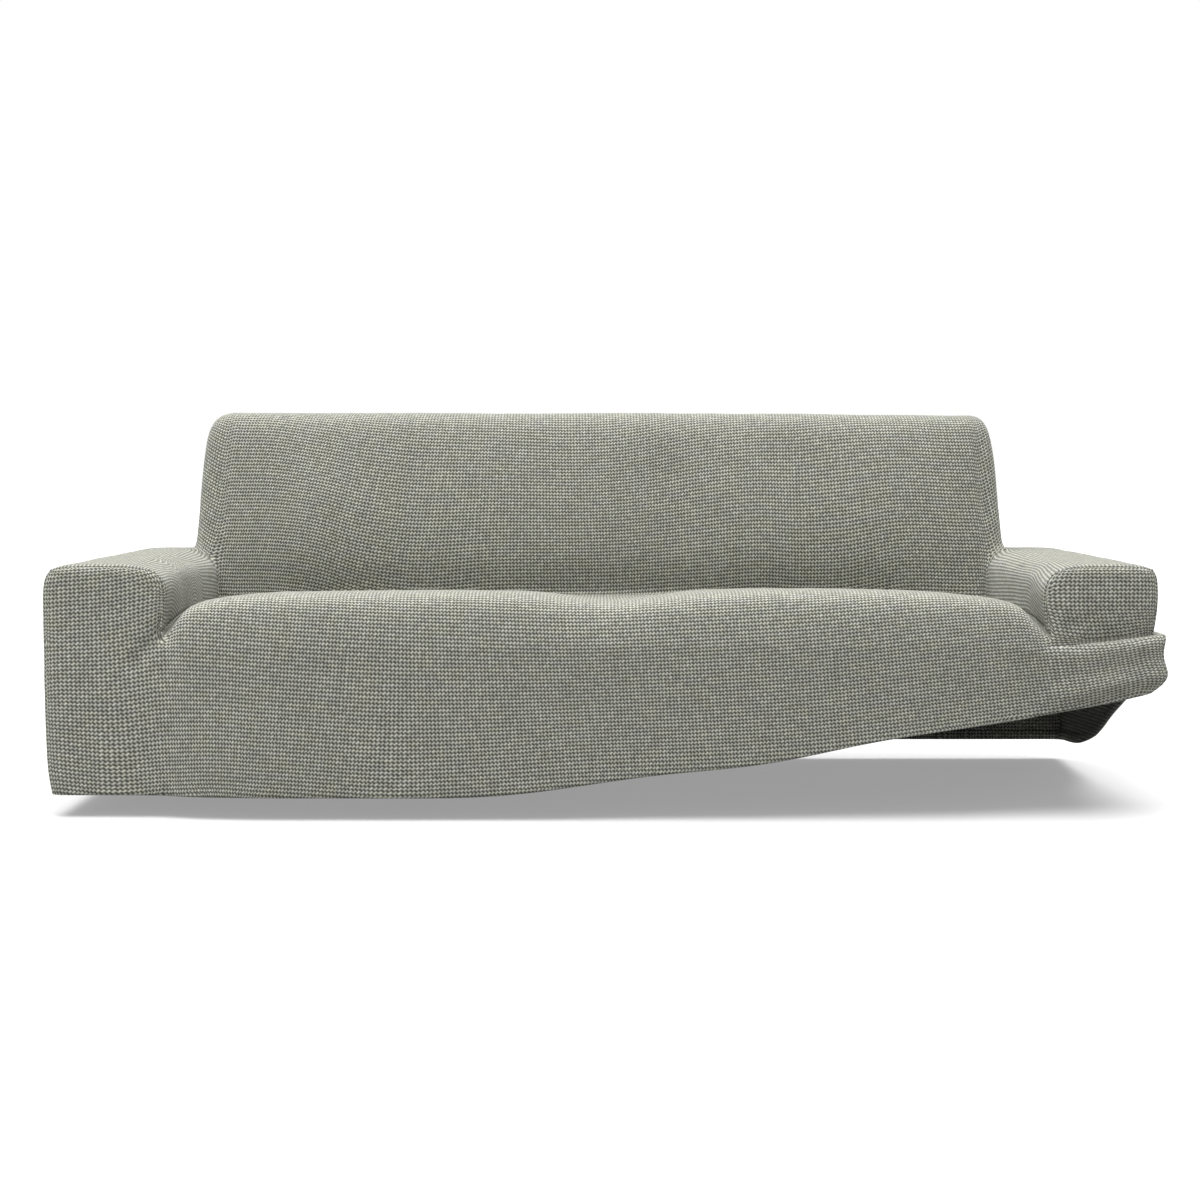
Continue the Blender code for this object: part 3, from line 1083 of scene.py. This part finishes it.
def new_group(name, inputs, outputs):
    """A shader node group with named sockets, and its two end nodes."""
    group = bpy.data.node_groups.new(name, "ShaderNodeTree")
    for label, kind, default in inputs:
        socket = group.interface.new_socket(label, in_out="INPUT", socket_type=kind)
        if default is not None:
            socket.default_value = default
    for label, kind in outputs:
        group.interface.new_socket(label, in_out="OUTPUT", socket_type=kind)
    entry = add_node(group, "NodeGroupInput")
    leave = add_node(group, "NodeGroupOutput")
    return group, entry, leave


# The waves' lowest and highest sum in a puff, and how fast the puffs' drift changes
PUFF_RANGE = (-1.8, 1.9)
DRIFT_SCALE = 0.9


def puffed_stitches():
    """Node group: rows of small slanted oval puffs, from a place counted in stitches.

    A puff is a wave across the columns and one up the rows, and the product of their sines
    leans it to the right.
    """
    kept = bpy.data.node_groups.get("puffed stitches")
    if kept:
        return kept
    group, entry, leave = new_group(
        "puffed stitches",
        (
            ("Stitches", "NodeSocketVector", None),
            ("Column Depth", "NodeSocketFloat", 0.8),
            ("Slant", "NodeSocketFloat", 1.0),
            ("Sharpness", "NodeSocketFloat", 1.4),
            ("Drift Across", "NodeSocketFloat", 0.35),
            ("Drift Upwards", "NodeSocketFloat", 0.16),
        ),
        (
            ("Height", "NodeSocketFloat"),
            ("Stitch Shade", "NodeSocketFloat"),
        ),
    )
    stitches = entry.outputs["Stitches"]
    split = add_node(group, "ShaderNodeSeparateXYZ")
    feed(group, split.inputs[0], stitches)
    drift = add_node(group, "ShaderNodeTexNoise", noise_dimensions="2D")
    feed(group, drift.inputs["Vector"], stitches)
    drift.inputs["Scale"].default_value = DRIFT_SCALE
    drift.inputs["Detail"].default_value = 1.0
    drifts = add_node(group, "ShaderNodeSeparateXYZ")
    feed(group, drifts.inputs[0], drift.outputs["Color"])
    waves = []
    cell = add_node(group, "ShaderNodeCombineXYZ")
    for axis, amount in (("X", "Drift Across"), ("Y", "Drift Upwards")):
        share = maths(group, "SUBTRACT", drifts.outputs[axis], 0.5)
        share = maths(group, "MULTIPLY", share, entry.outputs[amount])
        place = maths(group, "ADD", split.outputs[axis], share)
        feed(group, cell.inputs[axis], maths(group, "ROUND", place))
        turn = maths(group, "MULTIPLY", place, 2 * math.pi)
        waves.append((maths(group, "COSINE", turn), maths(group, "SINE", turn)))
    (across, across_sine), (up, up_sine) = waves
    slant = maths(group, "MULTIPLY", across_sine, up_sine)
    slant = maths(group, "MULTIPLY", slant, entry.outputs["Slant"])
    height = maths(group, "MULTIPLY_ADD", across, entry.outputs["Column Depth"], up)
    height = maths(group, "ADD", height, slant)
    shade = add_node(group, "ShaderNodeTexWhiteNoise", noise_dimensions="2D")
    feed(group, shade.inputs["Vector"], cell.outputs[0])
    scaled = add_node(group, "ShaderNodeMapRange")
    for socket, value in zip(scaled.inputs, (height, *PUFF_RANGE, 0.0, 1.0)):
        feed(group, socket, value)
    height = maths(group, "POWER", scaled.outputs[0], entry.outputs["Sharpness"])
    feed(group, leave.inputs["Height"], height)
    feed(group, leave.inputs["Stitch Shade"], shade.outputs["Value"])
    return group


KNIT_NAME = "puffed_melange_knit"

# Runs of the two yarns, longer across than up, with soft but clear changes between them
YARN_RUNS = {"scale": 0.13, "flatness": 2.2, "contrast": 3.5}

# Lighter and darker patches, then single fibres, and last whole stitches
SHADES = (
    # noise scale, detail, amount
    (0.3, 2.0, 0.08),
    (4.0, 1.0, 0.30),
)
STITCH_SHADES = 0.30


def varied(tree, value, amount):
    """A factor that a value from 0 to 1 moves round 1, by half the amount each way."""
    return maths(tree, "MULTIPLY_ADD", value, amount, 1 - amount / 2)


def knit_material():
    """Matt melange yarn in puffed stitches, with painted shade darkening the gaps between them."""
    kept = bpy.data.materials.get(KNIT_NAME)
    if kept:
        return kept
    look = bpy.context.scene.slipcover_knit
    material = bpy.data.materials.new(KNIT_NAME)
    material.use_nodes = True
    tree = material.node_tree
    shader = tree.nodes["Principled BSDF"]
    stitches = add_node(tree, "ShaderNodeUVMap", uv_map="stitches").outputs["UV"]
    puffs = add_node(tree, "ShaderNodeGroup", node_tree=puffed_stitches())
    feed(tree, puffs.inputs["Stitches"], stitches)
    puffs.inputs["Slant"].default_value = look.slant
    runs = add_node(tree, "ShaderNodeMapping")
    feed(tree, runs.inputs["Vector"], stitches)
    runs.inputs["Scale"].default_value = (1.0, YARN_RUNS["flatness"], 1.0)
    blend = maths(tree, "SUBTRACT", noise_value(tree, runs.outputs[0], YARN_RUNS["scale"]), 0.5)
    blend = maths(tree, "MULTIPLY_ADD", blend, YARN_RUNS["contrast"], 0.5, clamp=True)
    yarn = mixed(tree, blend, (*look.yarn_cool, 1), (*look.yarn_warm, 1))
    light = varied(tree, puffs.outputs["Stitch Shade"], STITCH_SHADES)
    for scale, detail, amount in SHADES:
        shade = varied(tree, noise_value(tree, stitches, scale, detail), amount)
        light = maths(tree, "MULTIPLY", light, shade)
    # Painted shade: the yarn's colour is darkened in the gaps between the puffs, where shade falls
    depth = maths(tree, "MULTIPLY_ADD", puffs.outputs["Height"], 1 - look.painted_gap_shade, look.painted_gap_shade)
    light = maths(tree, "MULTIPLY", light, depth)
    grey = add_node(tree, "ShaderNodeCombineColor")
    for socket in grey.inputs[:3]:
        feed(tree, socket, light)
    feed(tree, shader.inputs["Base Color"], mixed(tree, 1.0, yarn, grey.outputs[0], "MULTIPLY"))
    bump = add_node(tree, "ShaderNodeBump")
    bump.inputs["Distance"].default_value = look.puff_height
    feed(tree, bump.inputs["Height"], puffs.outputs["Height"])
    feed(tree, shader.inputs["Normal"], bump.outputs[0])
    shader.inputs["Roughness"].default_value = 0.95
    shader.inputs["Specular IOR Level"].default_value = 0.2
    shader.inputs["Sheen Weight"].default_value = look.fuzz
    shader.inputs["Sheen Roughness"].default_value = 0.5
    return material


# -------- The add-on's properties, operators and panel --------


class SlipcoverCloth(bpy.types.PropertyGroup):
    """Sizes of the cloth and its sewing."""

    sheet: bpy.props.FloatProperty(
        name="Cloth thickness", description="Thickness of the knit", default=0.0022, unit="LENGTH"
    )
    hem_depth: bpy.props.FloatProperty(
        name="Hem depth", description="Cloth turned in at the hem", default=0.020, unit="LENGTH"
    )
    seam_strip: bpy.props.FloatProperty(
        name="Seam strip", description="Cloth drawn in beside a seam", default=0.0025, unit="LENGTH"
    )
    seam_depth: bpy.props.FloatProperty(
        name="Seam depth", description="How deep a seam is drawn in", default=0.0010, unit="LENGTH"
    )
    fineness: bpy.props.IntProperty(
        name="Fineness", description="How often the form is subdivided", default=3
    )
    fold_strength: bpy.props.FloatProperty(
        name="Fold strength", description="How deep the folds are", default=1.0, subtype="FACTOR"
    )


class SlipcoverKnit(bpy.types.PropertyGroup):
    """Colours and relief of the knit."""

    yarn_warm: bpy.props.FloatVectorProperty(
        name="Warm yarn",
        description="Yellowish green yarn",
        default=(0.458, 0.462, 0.382),
        subtype="COLOR",
    )
    yarn_cool: bpy.props.FloatVectorProperty(
        name="Cool yarn",
        description="Bluish grey yarn",
        default=(0.450, 0.453, 0.402),
        subtype="COLOR",
    )
    # Painted shade: how light the colour is painted in the gaps between the puffs
    painted_gap_shade: bpy.props.FloatProperty(
        name="Gap shade", description="Lightness of the gaps", default=0.12, subtype="FACTOR"
    )
    slant: bpy.props.FloatProperty(
        name="Slant", description="How strongly a stitch leans to the right", default=1.15
    )
    puff_height: bpy.props.FloatProperty(
        name="Puff height", description="Relief of a stitch", default=0.0014, unit="LENGTH"
    )
    fuzz: bpy.props.FloatProperty(
        name="Fuzz", description="Pale fuzz seen at a flat angle", default=0.15, subtype="FACTOR"
    )


class SlipcoverStage(bpy.types.PropertyGroup):
    """The studio round the cover."""

    floor_gap: bpy.props.FloatProperty(
        name="Floor gap", description="Hem to floor", default=0.046, unit="LENGTH"
    )
    camera_distance: bpy.props.FloatProperty(
        name="Camera distance", description="In front of the middle", default=4.715, unit="LENGTH"
    )
    camera_height: bpy.props.FloatProperty(
        name="Camera height", description="Above the hem", default=0.665, unit="LENGTH"
    )
    camera_pitch: bpy.props.FloatProperty(
        name="Camera pitch", description="Downwards", default=math.radians(3.71), unit="ROTATION"
    )
    camera_yaw: bpy.props.FloatProperty(
        name="Camera yaw", description="To the left", default=math.radians(0.0523), unit="ROTATION"
    )
    lens: bpy.props.FloatProperty(name="Lens", description="In millimetres", default=65.73)
    floor_shade: bpy.props.FloatProperty(
        name="Floor shade", description="Lightness of the floor", default=0.40, subtype="FACTOR"
    )
    floor_glow: bpy.props.FloatProperty(
        name="Floor glow", description="How much shadows are paled", default=0.32, subtype="FACTOR"
    )
    floor_bounce: bpy.props.FloatProperty(
        name="Floor bounce", description="Light thrown back", default=0.32, subtype="FACTOR"
    )
    sky: bpy.props.FloatProperty(name="Sky light", description="All round light", default=0.35)
    key: bpy.props.FloatProperty(name="Key light", description="From above", default=7.6)
    key_from: bpy.props.FloatVectorProperty(
        name="Key from", description="Where the key light comes from", default=(-0.06, -0.05, 1.0)
    )
    fill: bpy.props.FloatProperty(name="Fill light", description="In watts", default=20.0)
    fill_from: bpy.props.FloatVectorProperty(
        name="Fill from", description="Where the fill light stands", default=(-2.6, -2.4, 1.3)
    )
    fill_size: bpy.props.FloatProperty(
        name="Fill size", description="Width of the fill light", default=2.4, unit="LENGTH"
    )
    key_softness: bpy.props.FloatProperty(
        name="Key softness", description="Its width", default=math.radians(72), unit="ROTATION"
    )


def add_camera(stage):
    data = bpy.data.cameras.new("photo_camera")
    data.lens = stage.lens
    camera = add_object("photo_camera", data)
    camera.location = (0.0, -stage.camera_distance, stage.camera_height)
    camera.rotation_euler = (math.pi / 2 - stage.camera_pitch, 0.0, stage.camera_yaw)
    bpy.context.scene.camera = camera


def add_key_light(stage):
    """A very wide, soft light from above, a little to the left and in front."""
    data = bpy.data.lights.new("overhead_softbox", "SUN")
    data.energy = stage.key
    data.angle = stage.key_softness
    light = add_object("overhead_softbox", data)
    light.rotation_euler = Vector(stage.key_from).to_track_quat("Z", "Y").to_euler()


def add_fill_light(stage):
    """A weak soft light in front of the left end."""
    data = bpy.data.lights.new("front_softbox", "AREA")
    data.energy = stage.fill
    data.shape = "SQUARE"
    data.size = stage.fill_size
    light = add_object("front_softbox", data)
    light.location = stage.fill_from
    towards = Vector((-HALF_WIDTH / 2, FRONT, ARM_TOP / 2)) - light.location
    light.rotation_euler = towards.to_track_quat("-Z", "Y").to_euler()


def add_surroundings(stage):
    """An even light all round, shown as a plain white background."""
    world = bpy.data.worlds.new("studio")
    world.use_nodes = True
    tree = world.node_tree
    background = tree.nodes["Background"]
    background.inputs["Color"].default_value = (1, 1, 1, 1)
    seen = add_node(tree, "ShaderNodeLightPath").outputs["Is Camera Ray"]
    strength = maths(tree, "MULTIPLY_ADD", seen, 1.0 - stage.sky, stage.sky)
    feed(tree, background.inputs["Strength"], strength)
    bpy.context.scene.world = world


FLOOR_HALF = 30.0


def add_floor(stage):
    """A pale floor with soft shadows, which throws back less light than it seems to."""
    form = bmesh.new()
    bmesh.ops.create_grid(form, x_segments=1, y_segments=1, size=FLOOR_HALF)
    mesh = bpy.data.meshes.new("studio_floor")
    form.to_mesh(mesh)
    form.free()
    floor = add_object("studio_floor", mesh)
    floor.location.z = -stage.floor_gap
    material = bpy.data.materials.new("studio_floor")
    material.use_nodes = True
    tree = material.node_tree
    shader = tree.nodes["Principled BSDF"]
    seen = add_node(tree, "ShaderNodeLightPath").outputs["Is Camera Ray"]
    grey = [(value, value, value, 1) for value in (stage.floor_bounce, stage.floor_shade)]
    feed(tree, shader.inputs["Base Color"], mixed(tree, seen, *grey))
    glow = (stage.floor_glow, stage.floor_glow, stage.floor_glow, 1)
    feed(tree, shader.inputs["Emission Color"], mixed(tree, seen, (0, 0, 0, 1), glow))
    shader.inputs["Emission Strength"].default_value = 1.0
    shader.inputs["Roughness"].default_value = 1.0
    shader.inputs["Specular IOR Level"].default_value = 0.0
    mesh.materials.append(material)


class SLIPCOVER_OT_stage(bpy.types.Operator):
    """Add the camera, the soft lights and the pale floor"""

    bl_idname = "slipcover.stage"
    bl_label = "Studio"

    def execute(self, context):
        stage = context.scene.slipcover_stage
        context.scene.view_settings.view_transform = "Standard"
        add_camera(stage)
        add_floor(stage)
        add_surroundings(stage)
        add_key_light(stage)
        add_fill_light(stage)
        return {"FINISHED"}


class SLIPCOVER_OT_front_seat_back(bpy.types.Operator):
    """Add the panel over the front, the seat, the inside back and the back's top"""

    bl_idname = "slipcover.front_seat_back"
    bl_label = "Front, seat and back cloth"

    def execute(self, context):
        make_panel("front_seat_back_panel")
        return {"FINISHED"}


class SLIPCOVER_OT_arms(bpy.types.Operator):
    """Add the panel over each arm"""

    bl_idname = "slipcover.arms"
    bl_label = "Arm cloths"

    def execute(self, context):
        make_panel("arm_panel_left")
        make_panel("arm_panel_right")
        return {"FINISHED"}


class SLIPCOVER_OT_outside_back(bpy.types.Operator):
    """Add the panel behind the backrest"""

    bl_idname = "slipcover.outside_back"
    bl_label = "Outside back cloth"

    def execute(self, context):
        make_panel("outside_back_panel")
        return {"FINISHED"}


class SLIPCOVER_PT_sidebar(bpy.types.Panel):
    """The slipcover's tab in the sidebar"""

    bl_idname = "SLIPCOVER_PT_sidebar"
    bl_label = "Slipcover"
    bl_space_type = "VIEW_3D"
    bl_region_type = "UI"
    bl_category = "Slipcover"

    def draw(self, context):
        for group in PROPERTY_GROUPS:
            settings = getattr(context.scene, group)
            for name in settings.bl_rna.properties.keys():
                if name not in ("rna_type", "name"):
                    self.layout.prop(settings, name)
        for operator in OPERATORS:
            self.layout.operator(operator.bl_idname)


PROPERTY_GROUPS = {
    "slipcover_cloth": SlipcoverCloth,
    "slipcover_knit": SlipcoverKnit,
    "slipcover_stage": SlipcoverStage,
}
OPERATORS = (
    SLIPCOVER_OT_stage,
    SLIPCOVER_OT_front_seat_back,
    SLIPCOVER_OT_arms,
    SLIPCOVER_OT_outside_back,
)


def register():
    for name, group in PROPERTY_GROUPS.items():
        bpy.utils.register_class(group)
        setattr(bpy.types.Scene, name, bpy.props.PointerProperty(type=group))
    for operator in OPERATORS:
        bpy.utils.register_class(operator)
    bpy.utils.register_class(SLIPCOVER_PT_sidebar)


def unregister():
    bpy.utils.unregister_class(SLIPCOVER_PT_sidebar)
    for operator in reversed(OPERATORS):
        bpy.utils.unregister_class(operator)
    for name, group in PROPERTY_GROUPS.items():
        delattr(bpy.types.Scene, name)
        bpy.utils.unregister_class(group)


def main():
    register()
    bpy.ops.slipcover.stage()
    bpy.ops.slipcover.front_seat_back()
    bpy.ops.slipcover.arms()
    bpy.ops.slipcover.outside_back()


if __name__ == "__main__":
    main()
